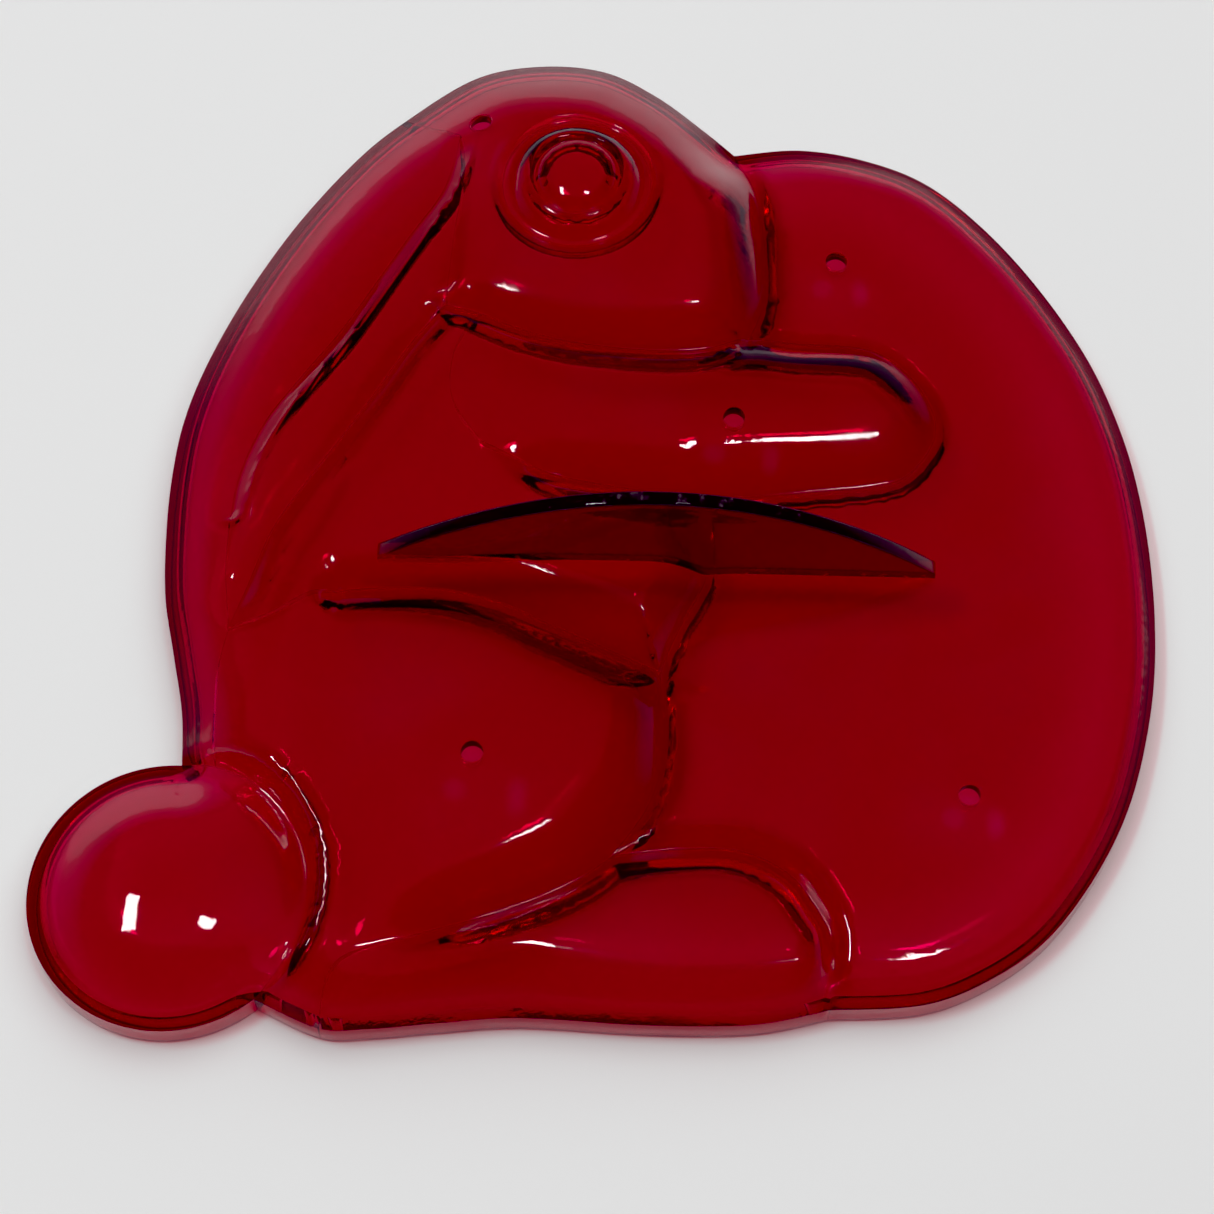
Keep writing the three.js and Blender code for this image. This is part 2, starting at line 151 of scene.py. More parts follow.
# Curves that run on into one another without a corner: before, after.
RUNS_ON = {
    "back": (None, "crown"), "crown": ("back", None),
    "sole": (None, "heel"), "heel": ("sole", None),
    "chin": (None, "jaw"), "jaw": ("chin", "armTop"), "armTop": ("jaw", "armUnder"),
    "armUnder": ("armTop", None), "earMiddle": (None, "earTip"), "earTip": ("earMiddle", None),
    "waist": (None, "thighTop"), "thighTop": ("waist", None),
    "belly": (None, "knee"), "knee": ("belly", None),
}

MEMBERS = {
    "head": ["crown", "-face", "-jaw", "-chin", "-earRoot", "-nape"],
    "back_ear": ["back", "nape", "earMiddle", "earTip", "rump", "-tailTop"],
    "front_ear": ["earMiddle", "earTip", "-earFront", "-earRoot"],
    "chest": ["chin", "-armRoot", "-armUnder", "belly", "-thighTop", "-waist", "-earFront"],
    "arm": ["jaw", "armTop", "armUnder", "armRoot"],
    "haunch": ["waist", "thighTop", "knee", "instep", "heel", "-tailInside", "-rump"],
    "foot": ["toes", "sole", "-instep"],
    "egg": ["eggBack", "-toes", "-knee", "-belly", "-armTop", "face"],
    "tail": ["tailOutside", "tailTop", "tailInside"],
}

# Heights of the rabbit's body where it is fullest: x, y, height.
CROWN_SPREAD = 8.0
CROWNS = np.array([
    (0, 34, 11.2), (0, 22, 10.9), (-8, 46, 10.7), (-20, 42, 9.9),
    (-30, 27, 10.1), (-41, 5, 9.4), (-40, -15, 9.1), (-24, 18, 10), (-33, -2, 9.5),
    (-12, 12, 10.1), (-22, -2, 9.5), (0, -10, 10.2), (-20, -8, 9.5),
    (-7, 11, 10.4), (12, 8, 10.5), (28, 8, 10),
    (-10, -24, 11.1), (-12, -34, 11.2), (-32, -24, 9.5), (-27, -38, 9.9),
    (-26, -47, 7.7), (0, -47, 7.7), (16, -46, 7.7),
], float)

# Width over which the outer edge rounds over: x, y, width.
ROUND_SPREAD = 10.0
ROUNDS = np.array([
    (-8, 50, 15), (8, 46, 14), (22, 43, 6), (40, 32, 6), (55, 5, 5), (54, -22, 4), (40, -45, 4),
    (28, -50, 3.6), (12, -52, 6), (-10, -52, 6), (-27, -52, 6.5), (-41, -20, 10), (-44, 0, 13),
    (-36, 28, 14),
], float)

# The creases, each from its start to its end: height of the floor, width of the slope on the left of
# the curve as it runs and on its right, and the lengths over which it fades in and out.
CREASES = [
    ("face", (7.3, 5.5), (7, 8), (2, 2), 0, 0),
    ("earRoot", (10.3, 9.7), (1.0, 1.0), (1.5, 1.5), 14, 0),
    ("chin", (9.2, 8.7), (3, 4.5), (2, 2.5), 0, 0),
    ("jaw", (8.7, 7.6), (5, 5), (3, 3), 0, 0),
    ("armTop", (7.3, 7.5), (2, 2), (6.5, 7), 0, 0),
    ("armUnder", (7.5, 8.7), (3, 3), (6, 4), 0, 9),
    ("belly", (7.5, 7.1), (3, 3), (5, 5), 0, 0),
    ("thighTop", (7.9, 7.1), (6, 6), (5, 5), 3, 0),
    ("knee", (7.1, 6.4), (2.5, 2.5), (6, 6), 0, 0),
    ("instep", (6.2, 7.0), (4, 4), (5, 5), 0, 22),
    ("toes", (6.4, 5.3), (1.8, 1.8), (4.2, 3.0), 0, 0),
    ("earMiddle", (9.7, 8.7), (1.7, 1.7), (1.7, 2.2), 3, 1.5),
    ("earFront", (9.3, 8.1), (2.4, 3.4), (2.0, 4.0), 2, 5),
    ("earFold", (9.2, 8.9), (1.8, 1.8), (1.8, 1.8), 5, 4),
]
# Low rounded ribs beside a curve: height, how far left of it they lie, their half width, and the lengths
# over which they fade in and out.
RIBS = [("earMiddle", 0.3, 2.0, 0.6, 6, 4)]
RIB_REACH = 3              # a rib has flattened out at this many half widths
SLOPE_POWER = 2.0          # how sharply a slope drops towards its crease
THICKEN = (3.0, 14.0)      # distances from the outer edge over which the wall grows to its full thickness
EDGE_STRAIGHT = 0.3        # share of the outer edge's width that slopes evenly
EDGE_LEVEL = (1 + EDGE_STRAIGHT) / 2
FLOOR_ROUND = 0.35         # rounding of a crease's floor


# ---------------------------------------------------------- points on curves

def spline(control, steps):
    """A dense, smooth line through all control points but the first and the last."""
    control = np.array(control, float)
    t = np.linspace(0, 1, steps, endpoint=False)[None, :, None]
    a, b, c, d = (p[:, None, :] for p in (control[:-3], control[1:-2], control[2:-1], control[3:]))
    squares = (2 * a - 5 * b + 4 * c - d) * t ** 2
    cubes = (3 * b - a - 3 * c + d) * t ** 3
    dense = 0.5 * (2 * b + (c - a) * t + squares + cubes)
    return np.vstack([dense.reshape(-1, 2), control[-2]])


def even_points(dense):
    """Points STEP apart along a line."""
    lengths = np.concatenate([[0], np.cumsum(np.linalg.norm(np.diff(dense, axis=0), axis=1))])
    wanted = np.linspace(0, lengths[-1], max(3, round(lengths[-1] / STEP) + 1))
    return np.stack([np.interp(wanted, lengths, dense[:, i]) for i in (0, 1)], axis=1)


def tail_arc(start, end):
    angles = np.linspace(start, end, max(3, round(abs(end - start) * TAIL_RADIUS / STEP) + 1))
    return np.stack([TAIL_X + TAIL_RADIUS * np.cos(angles), TAIL_Y + TAIL_RADIUS * np.sin(angles)], axis=1)


def tail_angle(point):
    return math.atan2(point[1] - TAIL_Y, point[0] - TAIL_X)


def on_tail(point):
    angle = tail_angle(point)
    return (TAIL_X + TAIL_RADIUS * math.cos(angle), TAIL_Y + TAIL_RADIUS * math.sin(angle))


def sample_curves():
    meetings = (("back", 0), ("rump", -1), ("heel", -1))
    at_back, at_rump, at_heel = (tail_angle(CURVES[name][index]) for name, index in meetings)
    for name, index in meetings:
        CURVES[name][index] = on_tail(CURVES[name][index])
    lines = {}
    for name, points in CURVES.items():
        before, after = RUNS_ON.get(name, (None, None))
        first = CURVES[before][-2] if before else points[0]
        last = CURVES[after][1] if after else points[-1]
        lines[name] = even_points(spline([first, *points, last], CURVE_DETAIL))
    lines["tailTop"] = tail_arc(at_back, at_rump)
    lines["tailInside"] = tail_arc(at_rump, at_heel)
    lines["tailOutside"] = tail_arc(at_heel, at_back - 2 * math.pi)
    return lines


LINES = sample_curves()
EYE_PROFILE = spline([EYE_RING[0], *EYE_RING, EYE_RING[-1]], PROFILE_DETAIL)


def run_of(name):
    return LINES[name[1:]][::-1] if name.startswith("-") else LINES[name]


def closed(names):
    return np.vstack([run_of(name)[:-1] for name in names])


SILHOUETTE = closed(["crown", "eggBack", "sole", "heel", "tailOutside", "back"])


# ------------------------------------------------------------------- relief

def nearest(line, points):
    """Distance to a polyline, distance along it, and whether the point lies on its left."""
    a, b = line[:-1], line[1:]
    ab = b - a
    length = np.linalg.norm(ab, axis=1)
    starts = np.concatenate([[0], np.cumsum(length)[:-1]])
    distance = np.empty(len(points))
    along = np.empty(len(points))
    left = np.empty(len(points), bool)
    for low in range(0, len(points), 4000):
        p = points[low:low + 4000, None, :] - a[None]
        t = np.clip((p * ab).sum(2) / (length ** 2), 0, 1)
        gap = p - t[..., None] * ab
        squared = (gap ** 2).sum(2)
        k = squared.argmin(1)
        rows = np.arange(len(k))
        distance[low:low + 4000] = np.sqrt(squared[rows, k])
        along[low:low + 4000] = starts[k] + t[rows, k] * length[k]
        cross = ab[k, 0] * p[rows, k, 1] - ab[k, 1] * p[rows, k, 0]
        left[low:low + 4000] = cross > 0
    return distance, along, left, starts[-1] + length[-1]


def inside(loop, points):
    odd = np.zeros(len(points), bool)
    for a, b in zip(loop, np.roll(loop, -1, axis=0)):
        if a[1] != b[1]:
            crosses = (a[1] > points[:, 1]) != (b[1] > points[:, 1])
            odd ^= crosses & (points[:, 0] < a[0] + (points[:, 1] - a[1]) * (b[0] - a[0]) / (b[1] - a[1]))
    return odd


def blend_of(controls, spread, points):
    """A smooth field through a few values placed in plan."""
    squared = ((points[:, None, :] - controls[None, :, :2]) ** 2).sum(2)
    weight = np.exp(-squared / (2 * spread ** 2)) + 1e-12
    return (weight * controls[:, 2]).sum(1) / weight.sum(1)


def smoothstep(value, width):
    t = np.clip(value / width, 0, 1) if width else np.ones_like(value)
    return t * t * (3 - 2 * t)


def quarter(distance, width):
    """A quarter ellipse: 0 at the edge, 1 once the distance reaches the width."""
    return np.sqrt(1 - (1 - np.clip(distance / width, 0, 1)) ** 2)


def edge_share(distance, width):
    """The outer edge's rise from its straight wall: an even slope that rounds over, 1 at the full width."""
    t = np.clip(distance / width, 0, 1)
    rounded = t - (t - EDGE_STRAIGHT) ** 2 / (2 * (1 - EDGE_STRAIGHT))
    return np.where(t < EDGE_STRAIGHT, t, rounded) / EDGE_LEVEL


def silhouette_distance(points):
    return nearest(np.vstack([SILHOUETTE, SILHOUETTE[:1]]), points)[0]


def round_width(points):
    """Width over which the outer edge rounds over."""
    return blend_of(ROUNDS, ROUND_SPREAD, points)


def tail_crease_distance(points):
    return nearest(np.vstack([LINES["tailTop"], LINES["tailInside"][1:]]), points)[0]


def eye_relief(points):
    """What the eye adds to the head: a moat, a ring that slopes up to a groove, and a small dome."""
    r = np.hypot(points[:, 0] - EYE_X, points[:, 1] - EYE_Y)
    ring = np.interp(r, EYE_PROFILE[:, 0], EYE_PROFILE[:, 1])
    dome = DOME_FOOT + DOME_RISE * np.sqrt(np.clip(1 - (r / DOME_RADIUS) ** 2, 0, 1))
    return np.where(r < DOME_RADIUS, dome, ring)


def fade_of(along, length, fade_in, fade_out):
    return smoothstep(along, fade_in) * smoothstep(length - along, fade_out)


def near_line(line, points, reach):
    low, high = line.min(0) - reach, line.max(0) + reach
    return ((points > low) & (points < high)).all(1)


def egg_height(points):
    """A very low dome."""
    share = np.clip(silhouette_distance(points) / EGG_DOME, 0, 1)
    return EGG_RIM + (EGG_HEIGHT - EGG_RIM) * (1 - (1 - share) ** 2)


def full_height(points, kind, crease_depth=1.0):
    """Height of the body, the egg or the tail before the outer edge rounds it over."""
    if kind == "tail":
        squared = (points[:, 0] - TAIL_X) ** 2 + (points[:, 1] - TAIL_Y) ** 2
        dome = TAIL_HEIGHT - squared / (2 * TAIL_CURVE)
        return TAIL_FLOOR + (dome - TAIL_FLOOR) * quarter(tail_crease_distance(points), TAIL_DOME)
    full = egg_height(points) if kind == "egg" else blend_of(CROWNS, CROWN_SPREAD, points)
    drop = np.zeros(len(points))
    for name, floor, left, right, fade_in, fade_out in CREASES:
        near = near_line(LINES[name], points, max(*left, *right) + 1)
        distance, along, on_left, length = nearest(LINES[name], points[near])
        share = along / length
        floor_here = floor[0] + (floor[1] - floor[0]) * share
        depth = np.clip(full[near] - floor_here, 0, None) * fade_of(along, length, fade_in, fade_out)
        rounded = np.sqrt(distance ** 2 + FLOOR_ROUND ** 2) - FLOOR_ROUND
        left_here = left[0] + (left[1] - left[0]) * share
        right_here = right[0] + (right[1] - right[0]) * share
        width = np.where(on_left, left_here, right_here)
        drop[near] = np.maximum(drop[near], depth * (1 - np.clip(rounded / width, 0, 1)) ** SLOPE_POWER)
    top = full - drop * crease_depth
    if kind == "egg":
        return top
    for name, rise, offset, half_width, fade_in, fade_out in RIBS:
        near = near_line(LINES[name], points, offset + RIB_REACH * half_width)
        distance, along, on_left, length = nearest(LINES[name], points[near])
        beside = np.where(on_left, distance, -distance) - offset
        top[near] += rise * np.exp(-(beside / half_width) ** 2) * fade_of(along, length, fade_in, fade_out)
    top += eye_relief(points)
    from_tail = np.clip(np.hypot(points[:, 0] - TAIL_X, points[:, 1] - TAIL_Y) - TAIL_RADIUS, 0, None)
    return TAIL_FLOOR + (top - TAIL_FLOOR) * (1 - (1 - np.clip(from_tail / TAIL_SIDE, 0, 1)) ** SLOPE_POWER)


def height(points, kind):
    """Height of the outer surface; kind is body, egg or tail."""
    share = edge_share(silhouette_distance(points), round_width(points))
    return SKIRT_HEIGHT + (full_height(points, kind) - SKIRT_HEIGHT) * share


def kind_of(member):
    return member if member in ("egg", "tail") else "body"


class InnerWall:
    """The inner surface: the tops moved down by the wall, rounded over inside the outer edge."""

    def __init__(self):
        low = SILHOUETTE.min(0) - 2
        high = SILHOUETTE.max(0) + 2
        self.low = low
        self.shape = tuple(np.ceil((high - low) / GRID).astype(int) + 1)
        x, y = np.meshgrid(*(low[i] + GRID * np.arange(self.shape[i]) for i in (0, 1)), indexing="ij")
        points = np.stack([x.ravel(), y.ravel()], axis=1)
        tops = np.empty(len(points))
        in_egg = inside(closed(MEMBERS["egg"]), points)
        in_tail = ~in_egg & (np.hypot(points[:, 0] - TAIL_X, points[:, 1] - TAIL_Y) < TAIL_RADIUS)
        for kind, mask in (("egg", in_egg), ("tail", in_tail), ("body", ~in_egg & ~in_tail)):
            tops[mask] = full_height(points[mask], kind, CREASE_WALL)
        self.inner = self.erode(tops.reshape(self.shape))

    def erode(self, tops):
        reach = int(WALL / GRID)
        padded = np.pad(tops, reach, mode="edge")
        inner = np.full(self.shape, np.inf)
        for i in range(-reach, reach + 1):
            for j in range(-reach, reach + 1):
                room = WALL ** 2 - (i * i + j * j) * GRID ** 2
                if room >= 0:
                    part = padded[reach + i:reach + i + self.shape[0], reach + j:reach + j + self.shape[1]]
                    inner = np.minimum(inner, part - math.sqrt(room))
        return inner

    def at(self, points):
        position = (points - self.low) / GRID
        cell = np.clip(np.floor(position).astype(int), 0, np.array(self.shape) - 2)
        u, v = (position - cell).T
        i, j = cell.T
        g = self.inner
        top = ((1 - u) * (1 - v) * g[i, j] + u * (1 - v) * g[i + 1, j]
               + (1 - u) * v * g[i, j + 1] + u * v * g[i + 1, j + 1])
        from_edge = silhouette_distance(points)
        thinner = (WALL - EDGE_WALL) * (1 - smoothstep(from_edge - THICKEN[0], THICKEN[1] - THICKEN[0]))
        share = edge_share(from_edge - WALL, round_width(points))
        return SKIRT_HEIGHT + (top - SKIRT_HEIGHT) * share + thinner * smoothstep(from_edge - WALL, 1.0)


INNER = InnerWall()


# ------------------------------------------------------------------- meshes

def grid_points(loop, holes, spacing, loop_rings, hole_rings):
    """Points that fill an outline: rows that follow its edges, then an even triangular grid.

    loop_rings pairs each distance with a mask of the outline's points that the row follows.
    """
    low, high = loop.min(0), loop.max(0)
    rows = []
    for i, y in enumerate(np.arange(low[1], high[1], spacing * math.sqrt(3) / 2)):
        xs = np.arange(low[0] + (i % 2) * spacing / 2, high[0], spacing)
        rows.append(np.stack([xs, np.full(len(xs), y)], axis=1))
    points = np.vstack(rows)
    outlines = [loop, *holes]
    points = points[is_in(outlines, points)]
    filled = [ring_points(loop, distance, outlines, mask) for distance, mask in loop_rings]
    filled += [ring_points(hole, distance, outlines) for hole in holes for distance in hole_rings]
    filled = np.vstack([loop, *holes, *filled])
    own = filled[sum(len(o) for o in outlines):]
    return np.vstack([own, points[clear_of(filled, points, spacing * ROOM)]])


def clear_of(taken, points, distance):
    """Which points lie further than a distance from all of the taken ones."""
    tree = KDTree(len(taken))
    for i, (x, y) in enumerate(taken):
        tree.insert((x, y, 0), i)
    tree.balance()
    return np.array([tree.find((x, y, 0))[2] > distance for x, y in points])


def is_in(outlines, points):
    keep = inside(outlines[0], points)
    for hole in outlines[1:]:
        keep &= ~inside(hole, points)
    return keep


def gap_to(outlines, points):
    return np.min([nearest(np.vstack([o, o[:1]]), points)[0] for o in outlines], axis=0)


def ring_points(outline, distance, outlines, mask=None):
    """Points at one distance inside an outline, without those that come too near another part of it."""
    along = np.roll(outline, -1, axis=0) - np.roll(outline, 1, axis=0)
    normal = np.stack([-along[:, 1], along[:, 0]], axis=1) / np.linalg.norm(along, axis=1)[:, None]
    points = outline + normal * distance
    if mask is not None:
        points = points[mask]
    return points[(gap_to(outlines, points) > distance * 0.97) & is_in(outlines, points)]


def triangles(loops, points):
    """Triangles between closed loops and loose points, as indices into the stacked loops and points."""
    stacked = np.vstack([*loops, points]) if len(points) else np.vstack(loops)
    edges = []
    start = 0
    for loop in loops:
        n = len(loop)
        edges += [(start + i, start + (i + 1) % n) for i in range(n)]
        start += n
    out = delaunay_2d_cdt([Vector(p) for p in stacked], edges, [], 0, 1e-5)
    coords = np.array([tuple(v) for v in out[0]])
    source = np.array([o[0] if o else -1 for o in out[3]])
    if (source < 0).any():
        raise ValueError("outlines cross")
    faces = np.array([f for f in out[2] if len(f) == 3])
    middle = coords[faces].mean(1)
    keep = inside(loops[0], middle)
    for hole in loops[1:]:
        keep &= ~inside(hole, middle)
    faces = source[faces[keep]]
    a, b, c = (stacked[faces[:, i]] for i in range(3))
    turned = (b[:, 0] - a[:, 0]) * (c[:, 1] - a[:, 1]) - (b[:, 1] - a[:, 1]) * (c[:, 0] - a[:, 0]) < 0
    faces[turned] = faces[turned][:, ::-1]
    return stacked, faces


def circle(x, y, radius, count):
    """A hole's edge, which runs clockwise so that the solid is on its left."""
    angles = -np.linspace(0, 2 * math.pi, count, endpoint=False)
    return np.stack([x + radius * np.cos(angles), y + radius * np.sin(angles)], axis=1)


class Solid:
    """Collects the points and faces of one closed piece, in millimetres."""

    def __init__(self):
        self.points = []
        self.faces = []
        self.count = 0
        self.outer_count = 0    # how many of the first faces belong to the outer surface
        self.kind = "body"

    def add(self, xy, z):
        block = np.column_stack([xy, np.broadcast_to(z, len(xy))])
        self.points.append(block)
        self.count += len(block)
        return np.arange(self.count - len(block), self.count)

    def strip(self, low, high, wrap):
        """A band of quads between two equal rows of points, low row first, facing right of the row."""
        n = len(low)
        for i in range(n if wrap else n - 1):
            j = (i + 1) % n
            self.faces.append((low[i], low[j], high[j], high[i]))

    def finish(self, name):
        mesh = bpy.data.meshes.new(name)
        faces = [tuple(map(int, f)) for f in self.faces]
        mesh.from_pydata((np.vstack(self.points) * MM).tolist(), [], faces)
        bm = bmesh.new()
        bm.from_mesh(mesh)
        bmesh.ops.recalc_face_normals(bm, faces=bm.faces)
        if bm.calc_volume(signed=True) < 0:
            bmesh.ops.reverse_faces(bm, faces=bm.faces)
        open_edges = sum(len(e.link_faces) != 2 for e in bm.edges)
        if open_edges:
            print("OPEN", name, open_edges)
        for edge in bm.edges:
            edge.smooth = edge.calc_face_angle(0) < SHARP_ANGLE
        for face in bm.faces:
            face.smooth = True
        bm.to_mesh(mesh)
        bm.free()
        if self.outer_count:
            self.set_normals(mesh)
        piece = bpy.data.objects.new(name, mesh)
        bpy.context.scene.collection.objects.link(piece)
        return piece

    def set_normals(self, mesh):
        """Gives the outer surface the relief's own slope, so that it runs on from member to member."""
        corners = np.empty(len(mesh.loops), int)
        mesh.loops.foreach_get("vertex_index", corners)
        last = mesh.polygons[self.outer_count - 1]
        outer_corners = last.loop_start + last.loop_total
        used = np.unique(corners[:outer_corners])
        xy = np.vstack(self.points)[used][:, :2]
        slope = [(height(xy + d, self.kind) - height(xy - d, self.kind)) / (2 * SLOPE_STEP)
                 for d in (np.array([SLOPE_STEP, 0]), np.array([0, SLOPE_STEP]))]
        normal = np.column_stack([-slope[0], -slope[1], np.ones(len(xy))])
        normal /= np.linalg.norm(normal, axis=1)[:, None]
        normal[silhouette_distance(xy) < PLAIN_MARGIN] = 0
        table = np.zeros((len(mesh.vertices), 3))
        table[used] = normal
        wanted = np.zeros((len(corners), 3))
        wanted[:outer_corners] = table[corners[:outer_corners]]
        mesh.normals_split_custom_set(wanted.tolist())


def outline_of(names):
    """The member's outline, running anticlockwise, with which points lie on the outer edge."""
    points, edge = [], []
    for name in names:
        run = run_of(name)
        points.append(run[:-1])
        edge.append(np.full(len(run) - 1, name.lstrip("-") in EDGES))
    points, edge = np.vstack(points), np.concatenate(edge)
    area = (points[:, 0] * np.roll(points[:, 1], -1) - points[:, 1] * np.roll(points[:, 0], -1)).sum()
    if area < 0:
        points, edge = points[::-1], np.roll(edge[::-1], -1)
    return points, edge


def member_solid(names, kind, holes):
    """One member of the shell: outer surface, inner surface, skirt, and cut faces along its creases.

    edge[i] says that the stretch from point i to point i + 1 belongs to the outer edge.
    """
    outline, edge = outline_of(names)
    n = len(outline)
    along = np.roll(outline, -1, axis=0) - np.roll(outline, 1, axis=0)
    along /= np.linalg.norm(along, axis=1)[:, None]
    inward = np.stack([-along[:, 1], along[:, 0]], axis=1)
    on_edge = edge | np.roll(edge, 1)
    corner = on_edge & ~(edge & np.roll(edge, 1))

    # The cut begins where a crease meets the outer edge and passes through the skirt's wall.
    through = max(1, round(WALL / STEP))
    inner_xy = outline.copy()
    in_cut = np.zeros(n, bool)
    direction = inward.copy()
    for c in np.flatnonzero(corner):
        step = -1 if edge[c] else 1
        end = (c + step * through) % n
        for k in range(1, through + 1):
            in_cut[(c + step * k) % n] = True
        in_cut[end] = False
        way = outline[end] - outline[c]
        fade_points = round(CUT_TURN / STEP)
        for k in range(fade_points + 1):
            i = (c - step * k) % n
            share = smoothstep(np.array(float(k)), float(fade_points))
            mixed = (1 - share) * way / np.linalg.norm(way) + share * inward[i]
            direction[i] = mixed / np.linalg.norm(mixed)
        inner_xy[c] = outline[end]
    plain = on_edge & ~corner
    inner_xy[plain] = outline[plain] + direction[plain] * WALL

    seam = np.where(on_edge[:, None], 0, inward * SEAM)
    solid = Solid()
    inner_keep = np.flatnonzero(~in_cut)
    ends = {}
    for c in np.flatnonzero(corner):
        step = -1 if edge[c] else 1
        ends[c] = (c + step * through) % n
    inner_keep = np.array([i for i in inner_keep if i not in ends.values()])

    outer_holes = [circle(x, y, r + (VENT_ROUND if r == VENT_RADIUS else 0), count)
                   for x, y, r, count in holes]
    rings = [(d, on_edge) for d in EDGE_RINGS] + [(d, ~on_edge) for d in CREASE_RINGS]
    fill = grid_points(outline, outer_holes, CELL, rings, HOLE_RINGS)
    xy, faces = triangles([outline, *outer_holes], fill)
    z = height(xy, kind)
    moved = xy.copy()
    moved[:n] += seam
    outer = solid.add(moved, z)
    solid.faces += [tuple(outer[f]) for f in faces]
    solid.outer_count, solid.kind = len(faces), kind

    inner_loop = inner_xy[inner_keep]
    inner_holes = [circle(x, y, r, count) for x, y, r, count in holes]
    rings = [(d, np.ones(len(inner_loop), bool)) for d in INNER_RINGS]
    fill = grid_points(inner_loop, inner_holes, INNER_CELL, rings, INNER_RINGS)
    xy, faces = triangles([inner_loop, *inner_holes], fill)
    moved = xy.copy()
    moved[:len(inner_loop)] += seam[inner_keep]
    inner = solid.add(moved, INNER.at(xy))
    solid.faces += [tuple(inner[f][::-1]) for f in faces]
    inner_of = {int(i): int(inner[k]) for k, i in enumerate(inner_keep)}

    # Walls of the holes.
    start_outer, start_inner = n, len(inner_loop)
    for x, y, r, count in holes:
        top = outer[start_outer:start_outer + count]
        low = inner[start_inner:start_inner + count]
        if r == VENT_RADIUS:
            ring = circle(x, y, r, count)
            neck = solid.add(ring, height(ring, kind) - VENT_ROUND)
            solid.strip(neck, top, True)
            top = neck
        solid.strip(low, top, True)
        start_outer += count
        start_inner += count

    # Skirt: an outer face, a rounded rim and an inner face.
    skirt = {}
    rows = [(0.0, RIM_ROUND), (RIM_ROUND, 0.0), (WALL - RIM_ROUND, 0.0), (WALL, RIM_ROUND)]
    edge_points = np.flatnonzero(on_edge)
    for depth, z_row in rows:
        share = depth / WALL
        xy = outline[edge_points] * (1 - share) + inner_xy[edge_points] * share
        ids = solid.add(xy, z_row)
        for i, vertex in zip(edge_points, ids):
            skirt.setdefault(int(i), []).append(int(vertex))
    for i in np.flatnonzero(edge):
        j = (i + 1) % n
        a = [int(outer[i]), *skirt[int(i)], inner_of[int(i)]]
        b = [int(outer[j]), *skirt[int(j)], inner_of[int(j)]]
        for k in range(len(a) - 1):
            solid.faces.append((a[k + 1], b[k + 1], b[k], a[k]))

    # Cut faces along the creases.
    for i in np.flatnonzero(~edge):
        j = (i + 1) % n
        if int(i) in inner_of and int(j) in inner_of and not corner[i] and not corner[j]:
            solid.faces.append((inner_of[int(i)], inner_of[int(j)], int(outer[j]), int(outer[i])))
    for c, end in ends.items():
        step = -1 if edge[c] else 1
        run = [(c + step * k) % n for k in range(through + 1)]
        beyond = (end + step) % n
        top = [int(outer[i]) for i in run] + [int(outer[beyond])]
        ring = top + [inner_of[beyond], inner_of[int(c)], *reversed(skirt[int(c)])]
        points = np.vstack(solid.points)[ring]
        distance = np.linalg.norm(points[:, :2] - outline[c], axis=1)
        flat = [Vector((s, z, 0)) for s, z in zip(distance, points[:, 2])]
        for face in tessellate_polygon([flat]):
            solid.faces.append(tuple(ring[k] for k in face))
    return solid


HEAD_EYE = (EYE_X, EYE_Y, EYE_RADIUS, EYE_SIDES)


def round_solid(radii):
    """A round member inside another, in rings from the widest radius down; a last 0 is its centre."""
    solid = Solid()
    rings = {}
    for side in ("outer", "inner"):
        rows = []
        for r in radii:
            xy = circle(EYE_X, EYE_Y, r, EYE_SIDES)[::-1] if r else np.array([[EYE_X, EYE_Y]])
            rows.append(solid.add(xy, height(xy, "body") if side == "outer" else INNER.at(xy)))
        rings[side] = rows
    for side, rows in rings.items():
        for wide, narrow in zip(rows, rows[1:]):
            if len(narrow) == 1:
                fan = [(wide[i], wide[(i + 1) % EYE_SIDES], narrow[0]) for i in range(EYE_SIDES)]
                solid.faces += fan if side == "outer" else [f[::-1] for f in fan]
            elif side == "outer":
                solid.strip(wide, narrow, True)
            else:
                solid.strip(narrow, wide, True)
        if side == "outer":
            solid.outer_count = len(solid.faces)
    solid.strip(rings["inner"][0], rings["outer"][0], True)
    if radii[-1]:
        solid.strip(rings["outer"][-1], rings["inner"][-1], True)
    return solid


# --------------------------------------------------------------------- grip

GRIP_X, GRIP_Y, GRIP_HALF, GRIP_TURN = 5.6, -7.4, 27.8, -0.024
GRIP_TOP = 22.8
GRIP_LEFT, GRIP_RIGHT = 10.0, 8.7    # height of its two ends
GRIP_THICK = 1.5
GRIP_FOOT = 0.06           # fillet where the grip stands on the relief
GRIP_SINK = 0.05           # how far its foot goes into the relief
GRIP_FOOT_SHARE = 0.9      # share of its thickness that the foot's inner points span
GRIP_ROUND = 0.3           # rounding of its top edge
GRIP_LEAST = 0.5           # least height of its crest above the relief
GRIP_SPARE = 0.2           # where less face than this is left, fillet and rounding shrink
GRIP_LEAST_FACE = 0.02
GRIP_STATIONS = 161        # cross sections along the grip
GRIP_ROWS = 12             # rows of points up its face
FROM_RELIEF, FROM_CREST, BETWEEN = range(3)


def relief_height(points):
    result = np.empty(len(points))
    in_egg = inside(closed(MEMBERS["egg"]), points)
    for kind, mask in (("egg", in_egg), ("body", ~in_egg)):
        if mask.any():
            result[mask] = height(points[mask], kind)
    return result


